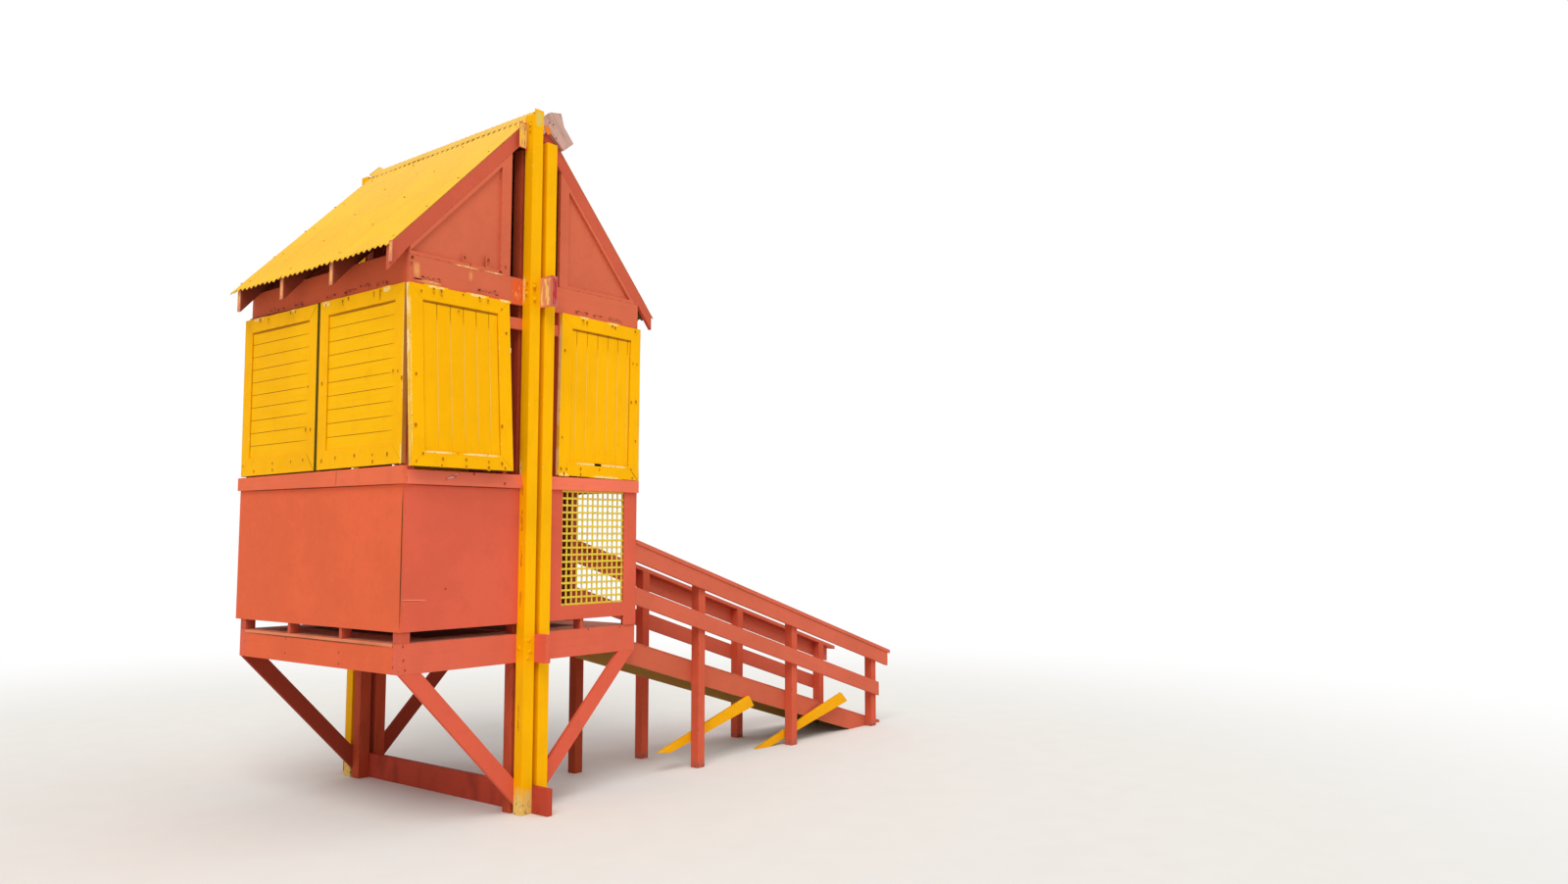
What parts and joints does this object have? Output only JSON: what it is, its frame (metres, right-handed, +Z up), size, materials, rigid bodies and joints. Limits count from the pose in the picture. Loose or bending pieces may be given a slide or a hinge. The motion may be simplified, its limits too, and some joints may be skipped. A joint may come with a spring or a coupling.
{
  "type": "lifeguard tower",
  "caption": "Raised timber beach cabin with a steep gabled roof, hinged shutters, a lattice bay and a sloping ramp with handrails.",
  "frame": {"origin": "on the ground under the cabin's centre, at the underside of the ground sill", "axes": "+X from the cabin down the ramp, +Y from the lattice gable to the rear gable, +Z up"},
  "size_m": [6.946, 2.92, 5.896],
  "materials": {
    "red_paint": "satin",
    "yellow_paint": "satin",
    "lattice_paint": "satin",
    "roof_paint": "satin",
    "weathered_wood": "matte"
  },
  "bodies": {
    "root": {"inner_posts": "red_paint", "ground_sill": "red_paint", "floor_beam": "red_paint", "eave_beam": "red_paint", "ridge_beam": "red_paint", "braces": "red_paint", "landing_post": "red_paint", "end_rims": "red_paint", "side_rims": "red_paint", "floor_joists": "red_paint", "deck": "red_paint", "corner_posts": "red_paint", "wall_studs": "red_paint", "side_sills": "red_paint", "end_sills": "red_paint", "lintels": "red_paint", "top_bands": "red_paint", "left_panel": "red_paint", "front_panel": "red_paint", "right_panel": "red_paint", "rear_panels": "red_paint", "lattice_frame": "red_paint", "gable_panels": "red_paint", "rafters": "red_paint", "ramp_stringers": "red_paint", "ramp_deck": "red_paint", "ramp_posts": "red_paint", "rail_caps": "red_paint", "rail_boards": "red_paint", "outer_posts": "yellow_paint", "left_far_shutter": "yellow_paint", "left_near_shutter": "yellow_paint", "front_left_shutter": "yellow_paint", "front_right_shutter": "yellow_paint", "right_shutters": "yellow_paint", "rear_shutters": "yellow_paint", "rake_boards": "yellow_paint", "ramp_braces": "yellow_paint", "lattice": "lattice_paint", "left_roof_sheet": "roof_paint", "right_roof_sheet": "roof_paint", "ridge_cap": "roof_paint", "ridge_board": "weathered_wood"}
  },
  "joints": []
}
